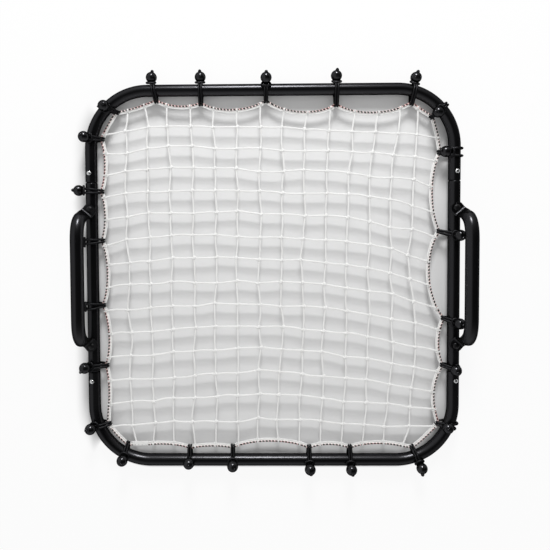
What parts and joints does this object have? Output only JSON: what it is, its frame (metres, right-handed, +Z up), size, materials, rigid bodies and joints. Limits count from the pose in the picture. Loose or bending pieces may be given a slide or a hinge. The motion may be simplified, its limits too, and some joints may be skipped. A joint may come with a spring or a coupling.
{
  "type": "goalkeeper rebounder",
  "caption": "Hand-held rebounder: a knotted net laced with ball ties into a rounded tubular frame, with a raised tube handle on each side.",
  "frame": {"origin": "on the floor under the middle of the bounding box, the rebounder lying flat with its handles up", "axes": "+Z up out of the net towards the handles, +Y towards the top bend, +X towards the right handle"},
  "size_m": [0.8614, 0.882, 0.102],
  "materials": {
    "black_tube": "satin black powder coat",
    "black_bolt": "black plated steel",
    "zinc": "bright zinc plate",
    "spring_steel": "plain rolled spring steel",
    "rope_fibre": "braided polyester rope with dark and red flecks",
    "net_twine": "white knotted twine",
    "tie_black": "glossy black ball on a black elastic cord"
  },
  "bodies": {
    "frame": {"frame_top_bend": "black_tube", "frame_bottom_bend": "black_tube", "left_side_tube": "black_tube", "right_side_tube": "black_tube", "left_handle": "black_tube", "right_handle": "black_tube", "border_rope": "rope_fibre", "net": "net_twine", "button_spring_top_left": "spring_steel", "handle_bolt_top_left": "black_bolt", "bolt_nut_top_left": "black_bolt", "button_spring_bottom_left": "spring_steel", "handle_bolt_bottom_left": "black_bolt", "bolt_nut_bottom_left": "black_bolt", "button_spring_top_right": "spring_steel", "handle_bolt_top_right": "black_bolt", "bolt_nut_top_right": "black_bolt", "button_spring_bottom_right": "spring_steel", "handle_bolt_bottom_right": "black_bolt", "bolt_nut_bottom_right": "black_bolt", "tie_top_1": "tie_black", "tie_top_2": "tie_black", "tie_top_3": "tie_black", "tie_top_4": "tie_black", "tie_top_5": "tie_black", "tie_corner_1": "tie_black", "tie_right_1": "tie_black", "tie_right_2": "tie_black", "tie_right_3": "tie_black", "tie_right_4": "tie_black", "tie_corner_2": "tie_black", "tie_bottom_6": "tie_black", "tie_bottom_5": "tie_black", "tie_bottom_4": "tie_black", "tie_bottom_3": "tie_black", "tie_bottom_2": "tie_black", "tie_bottom_1": "tie_black", "tie_corner_3": "tie_black", "tie_left_5": "tie_black", "tie_left_4": "tie_black", "tie_left_3": "tie_black", "tie_left_2": "tie_black", "tie_left_1": "tie_black", "tie_corner_4": "tie_black"},
    "snap_button_top_left": {"snap_button_top_left": "zinc"},
    "snap_button_bottom_left": {"snap_button_bottom_left": "zinc"},
    "snap_button_top_right": {"snap_button_top_right": "zinc"},
    "snap_button_bottom_right": {"snap_button_bottom_right": "zinc"}
  },
  "joints": [
    {"name": "press_top_left", "type": "slide", "parent": "frame", "child": "snap_button_top_left", "axis": [-0.1392, 0, 0.9903], "range_m": [-0.0052, 0], "stiffness_N_per_m": 500, "springref_m": 0.002, "deforming": ["button_spring_top_left"]},
    {"name": "press_bottom_left", "type": "slide", "parent": "frame", "child": "snap_button_bottom_left", "axis": [-0.1392, 0, 0.9903], "range_m": [-0.0052, 0], "stiffness_N_per_m": 500, "springref_m": 0.002, "deforming": ["button_spring_bottom_left"]},
    {"name": "press_top_right", "type": "slide", "parent": "frame", "child": "snap_button_top_right", "axis": [0.1392, 0, 0.9903], "range_m": [-0.0052, 0], "stiffness_N_per_m": 500, "springref_m": 0.002, "deforming": ["button_spring_top_right"]},
    {"name": "press_bottom_right", "type": "slide", "parent": "frame", "child": "snap_button_bottom_right", "axis": [0.1392, 0, 0.9903], "range_m": [-0.0052, 0], "stiffness_N_per_m": 500, "springref_m": 0.002, "deforming": ["button_spring_bottom_right"]}
  ]
}
